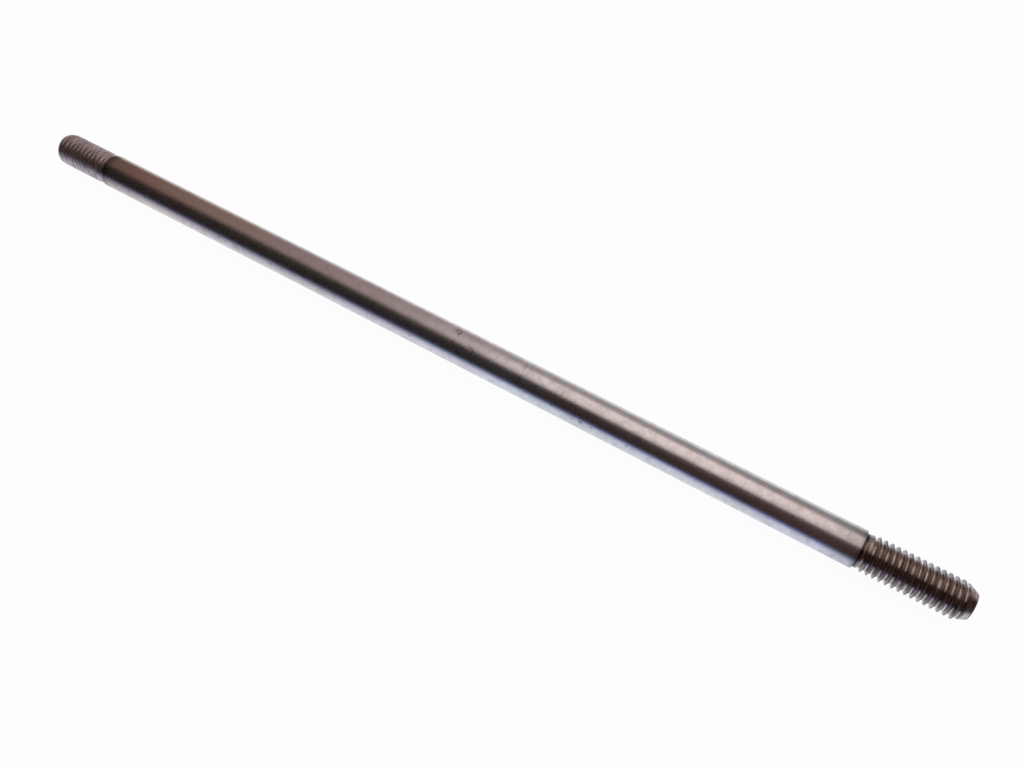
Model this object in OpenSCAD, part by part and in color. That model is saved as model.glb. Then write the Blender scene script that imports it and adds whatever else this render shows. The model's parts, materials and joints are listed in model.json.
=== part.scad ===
// Double-ended stud bolt: a plain round shank with a right-hand coarse thread on each end.
// The longer tap end (+X) screws into a tapped hole, and a nut runs on the shorter nut end (-X).
// The stud lies along X. Its origin is on the axis, at the shoulder where the tap end begins.

/* [Stud] */
// Overall length, from end face to end face
stud_length = 232; // [80:1:400]
// Diameter of the plain shank
shank_d = 8; // [7.9:0.05:9]
// Size of the 45 degree bevel that breaks the edge of each shoulder
shoulder_bevel = 0.15; // [0.05:0.05:0.3]

/* [Thread] */
// Diameter across the thread crests
thread_d = 7.8; // [7.7:0.02:8]
// Distance from one crest to the next
thread_pitch = 1.25; // [0.9:0.05:1.5]
// Diameter of the blank that the thread is rolled on, which stays bare as a neck by each shoulder
neck_d = 7.1; // [6.5:0.05:7.6]
// Length of the neck between the shoulder and the rise to the crests
neck_length = 0.8; // [0.3:0.05:3]
// Turns that the groove takes to reach its full depth
runout_turns = 0.75; // [0.5:0.25:2]
// Straight facets in one turn of the groove
facets_per_turn = 36; // [24:2:40]

/* [Tap end] */
// Length from the shoulder to the end face
tap_length = 21.7; // [14:0.1:40]
// Distance from the shoulder to the first turn of the groove
tap_groove_start = 0.15; // [0:0.05:1.2]
// Angle round the stud, from its underside, at which the groove starts
tap_groove_turn = 0; // [0:15:345]
// Diameter of the flat end face
tap_face_d = 5.5; // [5:0.1:7]
// Length of the tapered point behind the end face
tap_point_length = 2.4; // [0.5:0.1:3]

/* [Nut end] */
// Length from the shoulder to the end face
nut_length = 15.8; // [10:0.1:40]
// Distance from the shoulder to the first turn of the groove
nut_groove_start = 0.1; // [0:0.05:1.2]
// Angle round the stud, from its top, at which the groove starts
nut_groove_turn = 105; // [0:15:345]
// Diameter of the flat end face
nut_face_d = 6.8; // [5:0.1:7]
// Length of the tapered point behind the end face
nut_point_length = 1.1; // [0.5:0.1:3]

/* [Hidden] */

// The shank is what is left between the two threaded ends
shank_length = stud_length - tap_length - nut_length;

// The groove has the standard metric section: a 60 degree V with a height H of the pitch times
// the sine of 60, cut to 5/8 H, which leaves a flat of 1/8 pitch on the crest and 1/4 at the root
flank_angle = 30;
groove_depth = thread_pitch * sin(60) * 5 / 8;
root_flat = thread_pitch / 4;

// The blank rises from the neck to the crests at this angle to the axis
rise_angle = 15;

// How far the groove cutter stands clear of the crests, and the ends reach into the shank
clear = 0.3;
embed = 1;

// Facets of the turned surfaces, where they aren't kept as true curves
$fn = 96;

// Turned blank of one threaded end, along +Z from the shoulder: neck, rise, crests and point
module end_blank(length, face_d, point_length) {
    rise = (thread_d - neck_d) / 2 / tan(rise_angle);
    rotate_extrude()
        polygon([
            [0, -embed],
            [neck_d / 2, -embed],
            [neck_d / 2, neck_length],
            [thread_d / 2, neck_length + rise],
            [thread_d / 2, length - point_length],
            [face_d / 2, length],
            [0, length]
        ]);
}

// Section of the groove cutter as [radius, offset along the axis], with its root at radius root_r
function cutter_section(root_r) =
    let (
        top_r = thread_d / 2 + clear,
        root_half = root_flat / 2,
        top_half = root_half + (top_r - root_r) * tan(flank_angle)
    )
    [[root_r, -root_half], [root_r, root_half], [top_r, top_half], [top_r, -top_half]];

// Solid of the helical groove from height start to past height end. The section climbs one pitch
// in each turn, and in the first runout_turns it also sinks from the crests to the full depth.
module groove_cutter(start, end) {
    steps = ceil(((end - start) / thread_pitch + 1) * facets_per_turn);
    runout_steps = runout_turns * facets_per_turn;
    sunk = [for (i = [0 : steps]) min(1, i / runout_steps)];
    points = [
        for (i = [0 : steps])
            for (corner = cutter_section(thread_d / 2 + clear / 2 * (1 - sunk[i]) - groove_depth * sunk[i]))
                let (turn = 360 * i / facets_per_turn)
                [corner[0] * cos(turn), corner[0] * sin(turn),
                 start + thread_pitch * i / facets_per_turn + corner[1]]
    ];
    sides = [
        for (i = [0 : steps - 1])
            for (side = [0 : 3])
                let (a = 4 * i + side, b = 4 * i + (side + 1) % 4)
                each [[a, a + 4, b], [b, a + 4, b + 4]]
    ];
    first_cap = [0, 1, 2, 3];
    last_cap = [for (side = [3 : -1 : 0]) 4 * steps + side];
    polyhedron(points, concat([first_cap], sides, [last_cap]), convexity = 20);
}

// One threaded end, along +Z from the shoulder
module threaded_end(length, groove_start, groove_turn, face_d, point_length) {
    difference() {
        end_blank(length, face_d, point_length);
        rotate([0, 0, groove_turn])
            groove_cutter(groove_start, length);
    }
}

// Plain shank along +Z, with the edge of each shoulder broken
module shank() {
    straight = shank_length - 2 * shoulder_bevel;
    narrow_d = shank_d - 2 * shoulder_bevel;
    cylinder(h = shoulder_bevel, d1 = narrow_d, d2 = shank_d);
    translate([0, 0, shoulder_bevel])
        cylinder(h = straight, d = shank_d);
    translate([0, 0, shoulder_bevel + straight])
        cylinder(h = shoulder_bevel, d1 = shank_d, d2 = narrow_d);
}

// The whole stud, one piece of bare steel
module stud() {
    color("#83766f") {
        translate([-shank_length, 0, 0])
            rotate([0, 90, 0])
            shank();
        rotate([0, 90, 0])
            threaded_end(tap_length, tap_groove_start, tap_groove_turn, tap_face_d, tap_point_length);
        translate([-shank_length, 0, 0])
            rotate([0, -90, 0])
            threaded_end(nut_length, nut_groove_start, nut_groove_turn, nut_face_d, nut_point_length);
    }
}

stud();
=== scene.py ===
import json
from math import cos, pi, radians, sin, tan

import bmesh
import bpy
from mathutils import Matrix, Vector


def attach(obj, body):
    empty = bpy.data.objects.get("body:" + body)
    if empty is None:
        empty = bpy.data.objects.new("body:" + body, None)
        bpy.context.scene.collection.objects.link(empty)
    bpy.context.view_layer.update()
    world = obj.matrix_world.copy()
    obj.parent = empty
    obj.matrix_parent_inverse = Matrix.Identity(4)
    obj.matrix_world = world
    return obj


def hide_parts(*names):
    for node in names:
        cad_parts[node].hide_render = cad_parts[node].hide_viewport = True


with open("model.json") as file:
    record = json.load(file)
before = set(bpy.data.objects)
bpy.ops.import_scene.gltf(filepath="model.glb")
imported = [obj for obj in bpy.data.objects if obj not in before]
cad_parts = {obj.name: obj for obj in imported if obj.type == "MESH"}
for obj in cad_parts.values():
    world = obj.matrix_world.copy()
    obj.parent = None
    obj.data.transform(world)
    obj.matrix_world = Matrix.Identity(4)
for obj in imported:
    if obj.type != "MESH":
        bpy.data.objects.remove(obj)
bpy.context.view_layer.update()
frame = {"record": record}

# ---- Turned bar ------------------------------------------------------------------------------
# The stud is one length of bright carbon steel bar, ground to size between centreless wheels.
# Both ends are turned down to a neck and a blank for the thread, and pointed so that a nut or a
# tapped hole starts on them. The sharp corner of each shoulder is broken with a small bevel.

MM = 0.001
mounts = {mount["name"]: mount for mount in frame["record"]["mounts"]}
shank_r = mounts["shank"]["dims"]["r_mm"] * MM
crest_r = mounts["tap_end"]["dims"]["r_mm"] * MM
tap_length = mounts["tap_end"]["dims"]["length_mm"] * MM
nut_length = mounts["nut_end"]["dims"]["length_mm"] * MM
tap_shoulder = mounts["tap_end"]["pos_m"][0]
nut_shoulder = mounts["nut_end"]["pos_m"][0]

SIDES = 96
shoulder_bevel = 0.15 * MM
neck_r = 3.55 * MM
neck_length = 0.8 * MM
rise_angle = radians(15)
tap_point = {"length": 2.4 * MM, "face_r": 2.75 * MM}
nut_point = {"length": 1.1 * MM, "face_r": 3.4 * MM}


def select(piece, kind, test):
    """Leaves only those faces or verts of the piece selected that pass the test, by their place."""
    bpy.ops.mesh.select_all(action="DESELECT")
    bpy.ops.mesh.select_mode(type={"faces": "FACE", "verts": "VERT"}[kind])
    mesh = bmesh.from_edit_mesh(piece.data)
    for part in getattr(mesh, kind):
        if kind == "faces":
            hit = test(part.calc_center_median(), part.normal)
        else:
            hit = test(part.co, part)
        part.select_set(hit)
    mesh.select_flush_mode()
    bmesh.update_edit_mesh(piece.data)


def start_piece(name):
    """Names the primitive that was just added, and fixes its place in its mesh."""
    piece = bpy.context.active_object
    piece.name = name
    bpy.ops.object.transform_apply(location=True, rotation=True, scale=True)
    return piece


def turn_end(bar, shoulder, side, length, point):
    """Turns down one end of the bar, step by step from its shoulder to its point. Side is 1 or -1."""
    rise = (crest_r - neck_r) / tan(rise_angle)
    cuts = [
        (0, shank_r - shoulder_bevel),
        (0, neck_r),
        (neck_length, neck_r),
        (neck_length + rise, crest_r),
        (length - point["length"], crest_r),
        (length, point["face_r"]),
    ]
    place, radius = -shoulder_bevel, shank_r
    select(bar, "faces", lambda middle, normal: normal.x * side > 0.9)
    for next_place, next_radius in cuts:
        bpy.ops.mesh.extrude_region_move(
            TRANSFORM_OT_translate={"value": (side * (next_place - place), 0, 0)}
        )
        shrink = next_radius / radius
        bpy.ops.transform.resize(
            value=(1, shrink, shrink), center_override=(shoulder + side * next_place, 0, 0)
        )
        place, radius = next_place, next_radius


bpy.ops.object.select_all(action="DESELECT")
straight = tap_shoulder - nut_shoulder - 2 * shoulder_bevel
bpy.ops.mesh.primitive_cylinder_add(
    vertices=SIDES,
    radius=shank_r,
    depth=straight,
    end_fill_type="NGON",
    location=((tap_shoulder + nut_shoulder) / 2, 0, 0),
    rotation=(0, pi / 2, 0),
)
stud = start_piece("steel_stud")
bpy.ops.object.mode_set(mode="EDIT")
half_facet = pi / SIDES
bpy.ops.transform.rotate(value=half_facet, orient_axis="X", center_override=(0, 0, 0))
turn_end(stud, tap_shoulder, 1, tap_length, tap_point)
turn_end(stud, nut_shoulder, -1, nut_length, nut_point)
bpy.ops.object.mode_set(mode="OBJECT")

# ---- Threads ---------------------------------------------------------------------------------
# Both ends carry the same right-hand M8 coarse thread. Its groove is rolled in by a pair of dies,
# which leave a round root and crests with soft lips, and run out over most of a turn at the neck.

PITCH = 1.25 * MM
STEPS = 96
flank = radians(30)
groove_depth = PITCH * sin(radians(60)) * 5 / 8
root_r = crest_r - groove_depth
root_half = PITCH / 8
crest_half = PITCH / 16
root_round = 0.8 * root_half / tan(flank)
lip_round = 0.1 * MM
runout_turns = 0.75
tap_groove_start = 0.15 * MM
tap_cutter_turns = 18
nut_groove_start = 0.1 * MM
nut_groove_turn = radians(105)
nut_cutter_turns = 14

# How far the cutter's section goes wide of the lips and above them, how far above the crests its
# top is, and how far above them its root is where it starts
lip_gap = 0.01 * MM
lip_rise = 0.02 * MM
cutter_top = 0.3 * MM
cutter_lift = 0.15 * MM

# Points nearer to each other than this become one
weld = 0.002 * MM


def groove_section():
    """Half widths and radii along one side of the groove's section, from its root to past its lip."""
    points = [
        (root_round * sin(radians(turn)), root_r + root_round * (1 - cos(radians(turn))))
        for turn in (12, 36, 60)
    ]
    lip_reach = lip_round * tan(flank)
    half = PITCH / 2 - crest_half - lip_reach * sin(flank)
    radius = crest_r - lip_reach * cos(flank)
    points.append((half, radius))
    for turn in (50, 30, 10):
        half += lip_round * radians(20) * cos(radians(turn))
        radius += lip_round * radians(20) * sin(radians(turn))
        points.append((half, radius))
    points.append((half + lip_gap, crest_r + lip_rise))
    points.append((half + lip_gap, crest_r + cutter_top))
    return points


def groove_cutter(start, turns):
    """A helical bar of the groove's section, from the neck out past the end, lifted at its start."""
    points = groove_section()
    half, radius = points[0]
    bpy.ops.object.select_all(action="DESELECT")
    bpy.ops.mesh.primitive_plane_add(
        size=2 * half, location=(start, 0, half - radius), rotation=(pi / 2, 0, 0)
    )
    cutter = start_piece("groove_cutter")
    bpy.ops.object.mode_set(mode="EDIT")
    select(cutter, "verts", lambda place, vert: place.z > half / 2 - radius)
    bpy.ops.mesh.delete(type="VERT")
    bpy.ops.mesh.select_all(action="SELECT")
    for next_half, next_radius in points[1:]:
        bpy.ops.mesh.extrude_vertices_move(
            TRANSFORM_OT_translate={"value": (0, 0, radius - next_radius)}
        )
        bpy.ops.transform.resize(
            value=(next_half / half, 1, 1), center_override=(start, 0, -next_radius)
        )
        half, radius = next_half, next_radius
    bpy.ops.mesh.edge_face_add()
    bpy.ops.object.mode_set(mode="OBJECT")
    bpy.ops.object.modifier_add(type="SCREW")
    screw = cutter.modifiers[-1]
    screw.axis = "X"
    screw.angle = 2 * pi
    screw.screw_offset = PITCH
    screw.iterations = turns
    screw.steps = STEPS
    screw.render_steps = STEPS
    bpy.ops.object.modifier_apply(modifier=screw.name)
    corners = 2 * len(points)
    runout_steps = runout_turns * STEPS
    lift = crest_r + cutter_lift - root_r
    for vert in cutter.data.vertices:
        step = vert.index // corners
        if step < runout_steps:
            out = Vector((0, vert.co.y, vert.co.z)).normalized()
            vert.co += out * lift * (1 - step / runout_steps)
    bpy.ops.object.mode_set(mode="EDIT")
    bpy.ops.mesh.select_all(action="SELECT")
    bpy.ops.mesh.fill_holes(sides=0)
    bpy.ops.mesh.select_all(action="SELECT")
    bpy.ops.mesh.normals_make_consistent(inside=False)
    bpy.ops.object.mode_set(mode="OBJECT")
    return cutter


def cut_thread(bar, cutter):
    """Takes the groove out of the bar, and clears the cutter away."""
    bpy.ops.object.select_all(action="DESELECT")
    bar.select_set(True)
    bpy.context.view_layer.objects.active = bar
    bpy.ops.object.modifier_add(type="BOOLEAN")
    cut = bar.modifiers[-1]
    cut.operation = "DIFFERENCE"
    cut.solver = "EXACT"
    cut.object = cutter
    bpy.ops.object.modifier_apply(modifier=cut.name)
    bpy.data.objects.remove(cutter, do_unlink=True)


cut_thread(stud, groove_cutter(tap_groove_start, tap_cutter_turns))
nut_cutter = groove_cutter(nut_groove_start, nut_cutter_turns)
nut_cutter.rotation_euler = (nut_groove_turn, pi, 0)
nut_cutter.location.x = nut_shoulder
bpy.ops.object.transform_apply(location=True, rotation=True, scale=True)
cut_thread(stud, nut_cutter)

bpy.ops.object.mode_set(mode="EDIT")
bpy.ops.mesh.select_all(action="SELECT")
bpy.ops.mesh.remove_doubles(threshold=weld)
bpy.ops.mesh.select_all(action="SELECT")
bpy.ops.mesh.normals_make_consistent(inside=False)
bpy.ops.object.mode_set(mode="OBJECT")
bpy.ops.object.shade_smooth_by_angle(angle=radians(32))
bpy.ops.object.modifier_add(type="WEIGHTED_NORMAL")
weigh = stud.modifiers[-1]
weigh.keep_sharp = True
bpy.ops.object.modifier_apply(modifier=weigh.name)

# ---- Ground steel of the shank -----------------------------------------------------------------
# Bare carbon steel, centreless-ground and wiped with oil. To the eye it is a soft mirror: broad bands
# of light along the shank, faint rings left by the wheel, smudges and a few marks of handling, a
# browner tone towards the nut end that is partly browner oil and partly a painted brown reflection,
# and painted shade beside each shoulder.


def linear(colour):
    """The linear RGBA of an sRGB colour written as #rrggbb."""
    parts = [int(colour[i : i + 2], 16) / 255 for i in (1, 3, 5)]
    return [p / 12.92 if p <= 0.04045 else ((p + 0.055) / 1.055) ** 2.4 for p in parts] + [1]


def add_node(tree, kind, inputs=None, **settings):
    """Adds a node, sets its properties, and links or fills its inputs."""
    node = tree.nodes.new(kind)
    for name, value in settings.items():
        setattr(node, name, value)
    for socket, value in (inputs or {}).items():
        if isinstance(value, bpy.types.NodeSocket):
            tree.links.new(value, node.inputs[socket])
        else:
            node.inputs[socket].default_value = value
    return node


def new_material(name):
    """An empty node material and its tree."""
    material = bpy.data.materials.new(name)
    material.use_nodes = True
    material.node_tree.nodes.clear()
    return material, material.node_tree


STEEL = linear("#e8e6e8")
OILED_STEEL = linear("#dcd8d7")
BROWN_OIL_AND_REFLECTION = linear("#e2d1c9")
STAIN_AND_SHADE = linear("#33241f")

# Each mark: mm along the shank from the shoulder of the tapped-hole end, mm round it from the top
# towards the front, half its length along and half its length round in mm, its turn, its depth.
marks = [
    (-92.3, -1.1, 0.35, 0.95, 12, 0.8),
    (-91.4, -1.0, 0.30, 0.85, -14, 0.9),
    (-91.6, -0.4, 0.60, 0.35, 0, 0.9),
    (-92.0, -1.7, 0.90, 0.30, 0, 0.6),
    (-91.7, 1.75, 0.45, 0.45, 0, 0.5),
    (-87.4, 1.2, 0.80, 0.50, -20, 0.5),
    (-86.8, 1.6, 0.55, 0.55, 30, 0.6),
    (-88.2, 0.9, 0.45, 0.35, 0, 0.35),
    (-86.1, 4.2, 0.60, 0.50, 0, 0.45),
    (-96.0, 3.7, 0.50, 0.90, 15, 0.45),
    (-74.9, -0.6, 0.28, 1.7, 0, 0.35),
    (-74.7, 2.4, 0.32, 2.1, 0, 0.45),
    (-66.3, 2.1, 0.40, 0.55, 20, 0.5),
    (-66.1, 4.4, 0.55, 0.60, 0, 0.4),
    (-59.1, 5.0, 0.75, 0.65, 0, 0.7),
    (-56.7, 5.0, 0.50, 0.50, 0, 0.5),
    (-54.9, 4.2, 0.40, 0.35, 0, 0.35),
    (-48.4, 5.0, 0.50, 0.45, 0, 0.55),
    (-43.3, 5.4, 0.50, 0.45, 0, 0.45),
    (-22.9, 3.8, 0.45, 0.45, 0, 0.4),
    (-11.8, 1.7, 0.45, 0.40, 0, 0.4),
    (-3.1, 0.1, 0.28, 0.90, 20, 0.4),
    (-189.8, 5.4, 0.40, 0.90, -15, 0.6),
    (-156.6, 5.0, 0.90, 0.50, 10, 0.45),
    (-154.9, 5.3, 0.60, 0.40, 0, 0.5),
    (-151.5, 5.5, 1.80, 0.45, -8, 0.35),
    (-140.9, 5.2, 0.70, 0.60, 0, 0.4),
    (-137.9, -0.1, 0.80, 0.60, 0, 0.35),
    (-101.8, 5.1, 0.60, 0.45, 0, 0.4),
]

ground_steel, tree = new_material("centreless_ground_carbon_steel")
coords = add_node(tree, "ShaderNodeTexCoord")
place = add_node(tree, "ShaderNodeSeparateXYZ", {"Vector": coords.outputs["Object"]})
to_front = add_node(tree, "ShaderNodeMath", {0: 0, 1: place.outputs["Y"]}, operation="SUBTRACT")
turn = add_node(
    tree, "ShaderNodeMath", {0: to_front.outputs[0], 1: place.outputs["Z"]}, operation="ARCTAN2"
)
around = add_node(tree, "ShaderNodeMath", {0: turn.outputs[0], 1: shank_r}, operation="MULTIPLY")
skin = add_node(tree, "ShaderNodeCombineXYZ", {"X": place.outputs["X"], "Y": around.outputs[0]})
marked = None
for along_mm, around_mm, half_long_mm, half_round_mm, slant, depth in marks:
    on_mark = add_node(
        tree,
        "ShaderNodeMapping",
        {
            "Vector": skin.outputs[0],
            "Location": (tap_shoulder + along_mm * MM, around_mm * MM, 0),
            "Rotation": (0, 0, radians(slant)),
            "Scale": (half_long_mm * MM, half_round_mm * MM, 1),
        },
        vector_type="TEXTURE",
    )
    spot = add_node(
        tree, "ShaderNodeTexGradient", {"Vector": on_mark.outputs[0]}, gradient_type="SPHERICAL"
    )
    spot = add_node(
        tree,
        "ShaderNodeMapRange",
        {"Value": spot.outputs["Fac"], "From Max": 0.9, "To Max": depth},
    )
    if marked is not None:
        spot = add_node(
            tree, "ShaderNodeMath", {0: marked.outputs[0], 1: spot.outputs[0]}, operation="MAXIMUM"
        )
    marked = spot

# The real rings of the wheel are finer. These are drawn 0.35 mm apart, to show.
ring_spacing = 0.35 * MM
ring_length = 3 * MM
along_rings = add_node(
    tree,
    "ShaderNodeMapping",
    {
        "Vector": coords.outputs["Object"],
        "Scale": (1 / ring_spacing, 1 / ring_length, 1 / ring_length),
    },
)
rings = add_node(
    tree, "ShaderNodeTexNoise", {"Vector": along_rings.outputs[0], "Scale": 1, "Detail": 2}
)
cloud_size = 5 * MM
clouds = add_node(
    tree,
    "ShaderNodeTexNoise",
    {"Vector": coords.outputs["Object"], "Scale": 1 / cloud_size, "Detail": 5, "Roughness": 0.6},
)

# Faint smudges darken the steel and dull it a little
smudge_size = 1.5 * MM
smudge_strength = 0.2
smudges = add_node(
    tree,
    "ShaderNodeTexNoise",
    {"Vector": coords.outputs["Object"], "Scale": 1 / smudge_size, "Detail": 4, "Roughness": 0.65},
)
smudged = add_node(
    tree,
    "ShaderNodeMapRange",
    {"Value": smudges.outputs["Fac"], "From Min": 0.4, "From Max": 0.75, "To Max": smudge_strength},
)
marked = add_node(
    tree, "ShaderNodeMath", {0: marked.outputs[0], 1: smudged.outputs[0]}, operation="MAXIMUM"
)


def shade_beside_shoulder(shoulder, inwards, width, reach, strength, at_width):
    """How much painted shade darkens the shank beside a shoulder: quickly less over a width, then
    slowly to none.
    """
    near = add_node(
        tree,
        "ShaderNodeMapRange",
        {
            "Value": place.outputs["X"],
            "From Min": shoulder,
            "From Max": shoulder + inwards * width,
            "To Min": strength,
            "To Max": at_width,
        },
    )
    further = add_node(
        tree,
        "ShaderNodeMapRange",
        {
            "Value": place.outputs["X"],
            "From Min": shoulder + inwards * width,
            "From Max": shoulder + inwards * reach,
            "To Min": 1,
            "To Max": 0,
        },
    )
    return add_node(
        tree, "ShaderNodeMath", {0: near.outputs[0], 1: further.outputs[0]}, operation="MULTIPLY"
    )


# Painted shade: the shank is darkened beside each shoulder, most at the nut end
nut_shoulder_shade = shade_beside_shoulder(
    nut_shoulder, inwards=1, width=2.5 * MM, reach=15 * MM, strength=0.75, at_width=0.2
)
tap_shoulder_shade = shade_beside_shoulder(
    tap_shoulder, inwards=-1, width=0.9 * MM, reach=8 * MM, strength=0.6, at_width=0.24
)
shoulder_shade = add_node(
    tree, "ShaderNodeMath", {0: nut_shoulder_shade.outputs[0], 1: tap_shoulder_shade.outputs[0]}, operation="ADD"
)
oiled = add_node(
    tree,
    "ShaderNodeMapRange",
    {"Value": clouds.outputs["Fac"], "From Min": 0.3, "From Max": 0.7},
)
oiled = add_node(
    tree, "ShaderNodeMix", {0: oiled.outputs[0], 6: STEEL, 7: OILED_STEEL}, data_type="RGBA"
)
# Browner towards the nut end: partly browner oil, and partly a painted reflection of the brown room
# on that side
brown_from = 0.4 * nut_shoulder
brown_oil_and_reflection_share = add_node(
    tree,
    "ShaderNodeMapRange",
    {"Value": place.outputs["X"], "From Min": brown_from, "From Max": nut_shoulder},
)
oiled = add_node(
    tree,
    "ShaderNodeMix",
    {0: brown_oil_and_reflection_share.outputs[0], 6: oiled.outputs[2], 7: BROWN_OIL_AND_REFLECTION},
    data_type="RGBA",
)

# The hollows of the rings are a little darker
ring_strength = 0.08
streaked = add_node(
    tree,
    "ShaderNodeMapRange",
    {
        "Value": rings.outputs["Fac"],
        "From Min": 0.3,
        "From Max": 0.7,
        "To Min": ring_strength,
        "To Max": 0,
    },
)
streaked = add_node(
    tree,
    "ShaderNodeMix",
    {0: streaked.outputs[0], 6: oiled.outputs[2], 7: STAIN_AND_SHADE},
    data_type="RGBA",
)
colour = add_node(
    tree, "ShaderNodeMix", {0: marked.outputs[0], 6: streaked.outputs[2], 7: STAIN_AND_SHADE}, data_type="RGBA"
)
# Here the painted shade beside the shoulders darkens the colour
colour = add_node(
    tree, "ShaderNodeMix", {0: shoulder_shade.outputs[0], 6: colour.outputs[2], 7: STAIN_AND_SHADE}, data_type="RGBA"
)
clean_roughness = 0.25
smudged_roughness = 0.33
dulled = add_node(
    tree,
    "ShaderNodeMapRange",
    {
        "Value": smudges.outputs["Fac"],
        "From Min": 0.3,
        "From Max": 0.7,
        "To Min": clean_roughness,
        "To Max": smudged_roughness,
    },
)

# The surface waves a little with the smudges and the rings, and the marks are dents in it
relief_depth = 0.004 * MM
smudge_share = 1.5
waves = add_node(
    tree,
    "ShaderNodeMath",
    {0: smudges.outputs["Fac"], 1: smudge_share, 2: rings.outputs["Fac"]},
    operation="MULTIPLY_ADD",
)
relief = add_node(
    tree, "ShaderNodeMath", {0: waves.outputs[0], 1: marked.outputs[0]}, operation="SUBTRACT"
)
bump = add_node(
    tree,
    "ShaderNodeBump",
    {"Strength": 0.5, "Distance": relief_depth, "Height": relief.outputs[0]},
)
surface = add_node(
    tree,
    "ShaderNodeBsdfPrincipled",
    {
        "Base Color": colour.outputs[2],
        "Metallic": 1,
        "Roughness": dulled.outputs[0],
        "Normal": bump.outputs[0],
    },
    distribution="GGX",
)
add_node(tree, "ShaderNodeOutputMaterial", {"Surface": surface.outputs["BSDF"]})
stud.data.materials.append(ground_steel)

# ---- Rolled steel of the threads -----------------------------------------------------------------
# The dies press the roots and flanks of the threads smooth, and the crests stay duller. The colour is
# graded from root to flank to crest to paint the light and shade on the turns: at the tap end lighter
# roots paint the thin light line that each turn shows and darker crests paint shade, and at the nut
# end lighter flanks paint light stripes. The corner at the shoulder is darker. The points are turned,
# and keep the fine lines of the tool.

grime_size = 1.2 * MM
grime_unevenness = 0.15
corner_darkening = 0.85

# The dies and the turning tool leave fine lines round each end, drawn far enough apart to show.
streak_spacing = 0.35 * MM
streak_length = 3 * MM
streak_depth = 0.015 * MM


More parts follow.
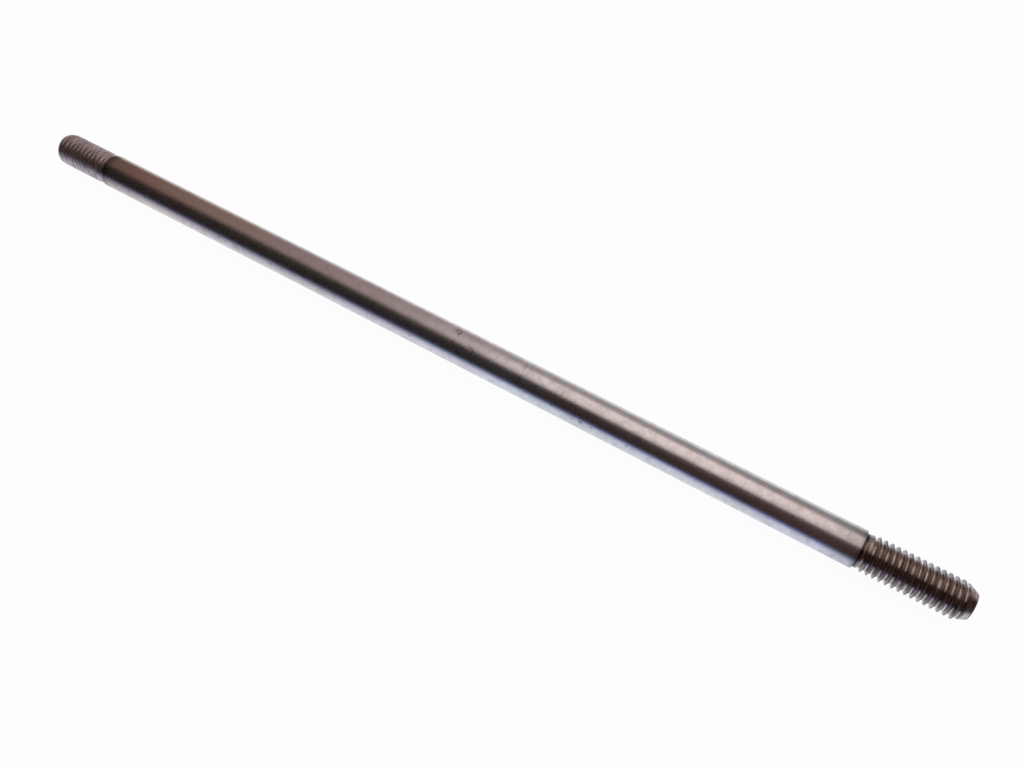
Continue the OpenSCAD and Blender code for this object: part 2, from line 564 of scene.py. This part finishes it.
def end_steel(name, end, shoulder, dark_corner_width, colours_with_painted_light, roughness, crest_roughness, streaking):
    """Gives an end steel whose colour, graded from root to crest, paints light and shade on its
    threads, and which is darker in the corner of its shoulder.
    """
    material, tree = new_material(name)
    coords = add_node(tree, "ShaderNodeTexCoord")
    place = add_node(tree, "ShaderNodeSeparateXYZ", {"Vector": coords.outputs["Object"]})
    across = add_node(
        tree, "ShaderNodeCombineXYZ", {"Y": place.outputs["Y"], "Z": place.outputs["Z"]}
    )

    # Height is 0 at the root and 1 at the crest, and grime makes it uneven
    radius = add_node(tree, "ShaderNodeVectorMath", {0: across.outputs[0]}, operation="LENGTH")
    height = add_node(
        tree,
        "ShaderNodeMapRange",
        {"Value": radius.outputs["Value"], "From Min": root_r, "From Max": crest_r},
    )
    grime = add_node(
        tree,
        "ShaderNodeTexNoise",
        {"Vector": coords.outputs["Object"], "Scale": 1 / grime_size, "Detail": 4},
    )
    uneven = add_node(
        tree,
        "ShaderNodeMapRange",
        {
            "Value": grime.outputs["Fac"],
            "From Min": 0.3,
            "From Max": 0.7,
            "To Min": -grime_unevenness,
            "To Max": grime_unevenness,
        },
    )
    height = add_node(
        tree, "ShaderNodeMath", {0: height.outputs[0], 1: uneven.outputs[0]}, operation="ADD"
    )
    out_of_root = add_node(
        tree, "ShaderNodeMapRange", {"Value": height.outputs[0], "From Min": 0.05, "From Max": 0.4}
    )
    on_crest = add_node(
        tree, "ShaderNodeMapRange", {"Value": height.outputs[0], "From Min": 0.75, "From Max": 1}
    )
    # Painted highlight and shade: the root, flank and crest colours paint the light lines and dark
    # bands of the turns
    colour = add_node(
        tree,
        "ShaderNodeMix",
        {0: out_of_root.outputs[0], 6: linear(colours_with_painted_light["root"]), 7: linear(colours_with_painted_light["flank"])},
        data_type="RGBA",
    )
    colour = add_node(
        tree,
        "ShaderNodeMix",
        {0: on_crest.outputs[0], 6: colour.outputs[2], 7: linear(colours_with_painted_light["crest"])},
        data_type="RGBA",
    )
    from_shoulder = add_node(
        tree, "ShaderNodeMath", {0: place.outputs["X"], 1: shoulder}, operation="SUBTRACT"
    )
    from_shoulder = add_node(
        tree, "ShaderNodeMath", {0: from_shoulder.outputs[0]}, operation="ABSOLUTE"
    )
    # The colour is darkened in the corner at the shoulder
    darkened_corner = add_node(
        tree,
        "ShaderNodeMapRange",
        {
            "Value": from_shoulder.outputs[0],
            "From Min": 0.7 * dark_corner_width,
            "From Max": 1.2 * dark_corner_width,
            "To Min": corner_darkening,
            "To Max": 0,
        },
    )
    colour = add_node(
        tree, "ShaderNodeMix", {0: darkened_corner.outputs[0], 6: colour.outputs[2], 7: STAIN_AND_SHADE}, data_type="RGBA"
    )
    dulled = add_node(
        tree,
        "ShaderNodeMapRange",
        {"Value": height.outputs[0], "To Min": roughness, "To Max": crest_roughness},
    )
    along_streaks = add_node(
        tree,
        "ShaderNodeMapping",
        {
            "Vector": coords.outputs["Object"],
            "Scale": (1 / streak_spacing, 1 / streak_length, 1 / streak_length),
        },
    )
    streaks = add_node(
        tree, "ShaderNodeTexNoise", {"Vector": along_streaks.outputs[0], "Scale": 1, "Detail": 1}
    )
    streaked = add_node(
        tree,
        "ShaderNodeMapRange",
        {
            "Value": streaks.outputs["Fac"],
            "From Min": 0.35,
            "From Max": 0.65,
            "To Min": streaking,
            "To Max": 0,
        },
    )
    colour = add_node(
        tree,
        "ShaderNodeMix",
        {0: streaked.outputs[0], 6: colour.outputs[2], 7: STAIN_AND_SHADE},
        data_type="RGBA",
    )
    bump = add_node(
        tree,
        "ShaderNodeBump",
        {"Strength": 0.5, "Distance": streak_depth, "Height": streaks.outputs["Fac"]},
    )
    surface = add_node(
        tree,
        "ShaderNodeBsdfPrincipled",
        {
            "Base Color": colour.outputs[2],
            "Metallic": 1,
            "Roughness": dulled.outputs[0],
            "Normal": bump.outputs[0],
        },
        distribution="GGX",
    )
    add_node(tree, "ShaderNodeOutputMaterial", {"Surface": surface.outputs["BSDF"]})
    bpy.ops.object.mode_set(mode="EDIT")
    stud.data.materials.append(material)
    stud.active_material_index = len(stud.data.materials) - 1
    select(stud, "faces", end)
    bpy.ops.object.material_slot_assign()
    bpy.ops.object.mode_set(mode="OBJECT")


# The tap end's steel takes in the bevel of its shoulder, and the nut end's starts at the flat
tap_steel_from = tap_shoulder - 0.14 * MM
nut_steel_to = nut_shoulder + 0.01 * MM
# The root, flank and crest colours of each end paint its highlights and shade
end_steel(
    "rolled_thread_oiled_steel",
    end=lambda middle, normal: middle.x > tap_steel_from,
    shoulder=tap_shoulder,
    dark_corner_width=0.5 * MM,
    colours_with_painted_light={"root": "#dcd0c8", "flank": "#b4a8a2", "crest": "#988b84"},
    roughness=0.18,
    crest_roughness=0.32,
    streaking=0.5,
)
end_steel(
    "rolled_thread_dulled_steel",
    end=lambda middle, normal: middle.x < nut_steel_to,
    shoulder=nut_shoulder,
    dark_corner_width=0.05 * MM,
    colours_with_painted_light={"root": "#c4b4b0", "flank": "#d8c9c6", "crest": "#c4b3ae"},
    roughness=0.31,
    crest_roughness=0.36,
    streaking=0.35,
)

# The faces of the point are looked for from a tenth of its length before it
point_start = tap_shoulder + tap_length - 1.1 * tap_point["length"]


def on_tap_point(middle, normal):
    """Whether a face slopes as the taper of the tap end's point does, or is flat like its face."""
    return middle.x > point_start and (0.3 < normal.x < 0.55 or normal.x > 0.95)


end_steel(
    "turned_steel_point",
    end=on_tap_point,
    shoulder=tap_shoulder,
    dark_corner_width=0.5 * MM,
    colours_with_painted_light={"root": "#d8c8bf", "flank": "#d8c8bf", "crest": "#c9bcb6"},
    roughness=0.26,
    crest_roughness=0.34,
    streaking=0.7,
)
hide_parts("stud")
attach(stud, "root")

# ---- Table -------------------------------------------------------------------------------------
# The stud lies on a plain sweep of white paper, which shows as white. What the steel mirrors of it is
# a painted glow on the paper, brightest close beside the stud, which fades and turns blue towards the
# front, fades slowly behind, and is dimmer towards both ends.

floor_z = -shank_r
floor_size = 3
front_fade = 19 * MM
back_fade = 90 * MM
# Both fades are worked out over this many times their length
FADES = 100
glow_left = 1.05
glow_middle = 1.65
glow_rise_from = -0.13
glow_rise_to = -0.05
glow_at_far_right = 0.15
glow_fall_from = -0.04
glow_fall_to = 0.13
shown_glow = 0.95

bpy.ops.object.select_all(action="DESELECT")
bpy.ops.mesh.primitive_plane_add(size=floor_size, location=(0, 0, floor_z))
floor = start_piece("floor")
white_sweep, tree = new_material("white_paper_sweep")
rays = add_node(tree, "ShaderNodeLightPath")
coords = add_node(tree, "ShaderNodeTexCoord")
place = add_node(tree, "ShaderNodeSeparateXYZ", {"Vector": coords.outputs["Object"]})
glow = add_node(
    tree,
    "ShaderNodeMapRange",
    {
        "Value": place.outputs["X"],
        "From Min": glow_rise_from,
        "From Max": glow_rise_to,
        "To Min": glow_left,
        "To Max": glow_middle,
    },
)
right_end = add_node(
    tree,
    "ShaderNodeMapRange",
    {
        "Value": place.outputs["X"],
        "From Min": glow_fall_from,
        "From Max": glow_fall_to,
        "To Min": 1,
        "To Max": glow_at_far_right,
    },
)
glow = add_node(
    tree, "ShaderNodeMath", {0: glow.outputs[0], 1: right_end.outputs[0]}, operation="MULTIPLY"
)
# The glow is divided by 1 at the stud, by 2 one fade away from it, by 3 two fades away, and so on
front = add_node(
    tree,
    "ShaderNodeMapRange",
    {
        "Value": place.outputs["Y"],
        "From Min": -shank_r - FADES * front_fade,
        "From Max": -shank_r,
        "To Min": FADES + 1,
        "To Max": 1,
    },
)
back = add_node(
    tree,
    "ShaderNodeMapRange",
    {
        "Value": place.outputs["Y"],
        "From Min": shank_r,
        "From Max": shank_r + FADES * back_fade,
        "To Min": 1,
        "To Max": FADES + 1,
    },
)
fade = add_node(
    tree, "ShaderNodeMath", {0: front.outputs[0], 1: back.outputs[0]}, operation="MULTIPLY"
)
glow = add_node(
    tree, "ShaderNodeMath", {0: glow.outputs[0], 1: fade.outputs[0]}, operation="DIVIDE"
)
glow = add_node(tree, "ShaderNodeMath", {0: glow.outputs[0], 1: 1}, operation="MINIMUM")
two_fades_away = add_node(
    tree, "ShaderNodeMapRange", {"Value": front.outputs[0], "From Min": 1, "From Max": 3}
)
glow_colour = add_node(
    tree,
    "ShaderNodeMix",
    {0: two_fades_away.outputs[0], 6: linear("#f2f5ff"), 7: linear("#92aaf0")},
    data_type="RGBA",
)
paper = add_node(tree, "ShaderNodeBsdfDiffuse", {"Color": linear("#fafafa")})
white = add_node(tree, "ShaderNodeEmission", {"Color": linear("#ffffff"), "Strength": 1})
# Painted reflection: mirrored rays see this glow, a pool of light painted on the paper
mirrored_painted_glow = add_node(
    tree, "ShaderNodeEmission", {"Color": glow_colour.outputs[2], "Strength": glow.outputs[0]}
)
# The rest is lit paper, which carries the shadow of the stud
white_share = add_node(
    tree, "ShaderNodeMath", {0: rays.outputs["Is Camera Ray"], 1: shown_glow}, operation="MULTIPLY"
)
shown = add_node(
    tree, "ShaderNodeMixShader", {0: white_share.outputs[0], 1: paper.outputs[0], 2: white.outputs[0]}
)
surface = add_node(
    tree,
    "ShaderNodeMixShader",
    {0: rays.outputs["Is Glossy Ray"], 1: shown.outputs[0], 2: mirrored_painted_glow.outputs[0]},
)
add_node(tree, "ShaderNodeOutputMaterial", {"Surface": surface.outputs[0]})
floor.data.materials.append(white_sweep)

# ---- Light -------------------------------------------------------------------------------------
# One large softbox hangs over the stud and a little behind it. The room is black in front, where
# the camera stands, grey behind the table and brown to the left, and the steel mirrors all three.
# Each colour of the room is blended in by the direction that a mirrored ray leaves in.

BLACK_FRONT = linear("#120708")
BROWN_FRONT = linear("#54322f")
GREY_WALL = linear("#aca09f")
LEFT_WALL = linear("#745147")
RIGHT_WALL = linear("#887a7c")
FAR_RIGHT = linear("#43342f")
FAR_SIDES = linear("#33231d")
FAR_CORNER = linear("#c9bfc2")
DAYLIGHT = linear("#d8d8d8")
WHITE = linear("#ffffff")

world = bpy.data.worlds.new("studio")
bpy.context.scene.world = world
world.use_nodes = True
tree = world.node_tree
tree.nodes.clear()
rays = add_node(tree, "ShaderNodeLightPath")
coords = add_node(tree, "ShaderNodeTexCoord")
way = add_node(tree, "ShaderNodeSeparateXYZ", {"Vector": coords.outputs["Generated"]})
to_back = add_node(
    tree,
    "ShaderNodeMapRange",
    {"Value": way.outputs["Y"], "From Min": -0.38, "From Max": 0.13},
    interpolation_type="SMOOTHSTEP",
)
to_left = add_node(
    tree, "ShaderNodeMapRange", {"Value": way.outputs["X"], "From Min": -0.36, "From Max": -0.68}
)
to_right = add_node(
    tree, "ShaderNodeMapRange", {"Value": way.outputs["X"], "From Min": -0.2, "From Max": 0.3}
)
far_right = add_node(
    tree, "ShaderNodeMapRange", {"Value": way.outputs["X"], "From Min": 0.3, "From Max": 0.6}
)
sideways = add_node(tree, "ShaderNodeMath", {0: way.outputs["X"]}, operation="ABSOLUTE")
far_sides = add_node(
    tree, "ShaderNodeMapRange", {"Value": sideways.outputs[0], "From Min": 0.66, "From Max": 0.92}
)
far_back = add_node(
    tree, "ShaderNodeMapRange", {"Value": way.outputs["Y"], "From Min": 0.35, "From Max": 0.75}
)
far_corner = add_node(
    tree, "ShaderNodeMath", {0: far_right.outputs[0], 1: far_back.outputs[0]}, operation="MULTIPLY"
)
front = add_node(
    tree,
    "ShaderNodeMix",
    {0: to_right.outputs[0], 6: BLACK_FRONT, 7: BROWN_FRONT},
    data_type="RGBA",
)
wall = add_node(
    tree, "ShaderNodeMix", {0: to_left.outputs[0], 6: GREY_WALL, 7: LEFT_WALL}, data_type="RGBA"
)
room = add_node(
    tree,
    "ShaderNodeMix",
    {0: to_right.outputs[0], 6: wall.outputs[2], 7: RIGHT_WALL},
    data_type="RGBA",
)
room = add_node(
    tree,
    "ShaderNodeMix",
    {0: to_back.outputs[0], 6: front.outputs[2], 7: room.outputs[2]},
    data_type="RGBA",
)
for share, colour in ((far_right, FAR_RIGHT), (far_sides, FAR_SIDES), (far_corner, FAR_CORNER)):
    room = add_node(
        tree,
        "ShaderNodeMix",
        {0: share.outputs[0], 6: room.outputs[2], 7: colour},
        data_type="RGBA",
    )
mirrored_room = add_node(tree, "ShaderNodeBackground", {"Color": room.outputs[2], "Strength": 1})
daylight = add_node(tree, "ShaderNodeBackground", {"Color": DAYLIGHT, "Strength": 1})
backdrop = add_node(tree, "ShaderNodeBackground", {"Color": WHITE, "Strength": 1})
lit = add_node(
    tree,
    "ShaderNodeMixShader",
    {0: rays.outputs["Is Glossy Ray"], 1: daylight.outputs[0], 2: mirrored_room.outputs[0]},
)
seen = add_node(
    tree,
    "ShaderNodeMixShader",
    {0: rays.outputs["Is Camera Ray"], 1: lit.outputs[0], 2: backdrop.outputs[0]},
)
add_node(tree, "ShaderNodeOutputWorld", {"Surface": seen.outputs[0]})

softbox_width = 0.47
softbox_depth = 0.64
softbox_distance = 0.5
softbox_tilt = radians(77.7)
softbox_brightness = 0.63
softbox_place = Vector(
    (0, softbox_distance * cos(softbox_tilt), softbox_distance * sin(softbox_tilt))
)
softbox_lamp = bpy.data.lights.new("softbox", "AREA")
softbox_lamp.shape = "RECTANGLE"
softbox_lamp.size = softbox_width
softbox_lamp.size_y = softbox_depth
softbox_lamp.color = linear("#fff2ec")[:3]
softbox_lamp.energy = softbox_brightness * pi * softbox_lamp.size * softbox_lamp.size_y
softbox = bpy.data.objects.new("softbox", softbox_lamp)
softbox.location = softbox_place
softbox.rotation_euler.x = softbox_tilt - pi / 2
bpy.context.scene.collection.objects.link(softbox)

# ---- Camera ------------------------------------------------------------------------------------
# The camera looks down on the stud from in front, and stands nearer to the tap end, so that the
# nut end looks the smaller of the two.

target = Vector((-0.076413, -0.002392, 0))
azimuth = radians(31.1861)
elevation = radians(57.7354)
distance = 0.194693
camera_lens = bpy.data.cameras.new("camera")
camera_lens.lens = 32
camera_lens.clip_start = 0.01
camera = bpy.data.objects.new("camera", camera_lens)
toward = Vector((-sin(azimuth) * cos(elevation), cos(azimuth) * cos(elevation), -sin(elevation)))
camera.location = target - toward * distance
camera.rotation_euler = toward.to_track_quat("-Z", "Y").to_euler()
bpy.context.scene.collection.objects.link(camera)
bpy.context.scene.camera = camera

bpy.context.scene.view_settings.view_transform = "Standard"
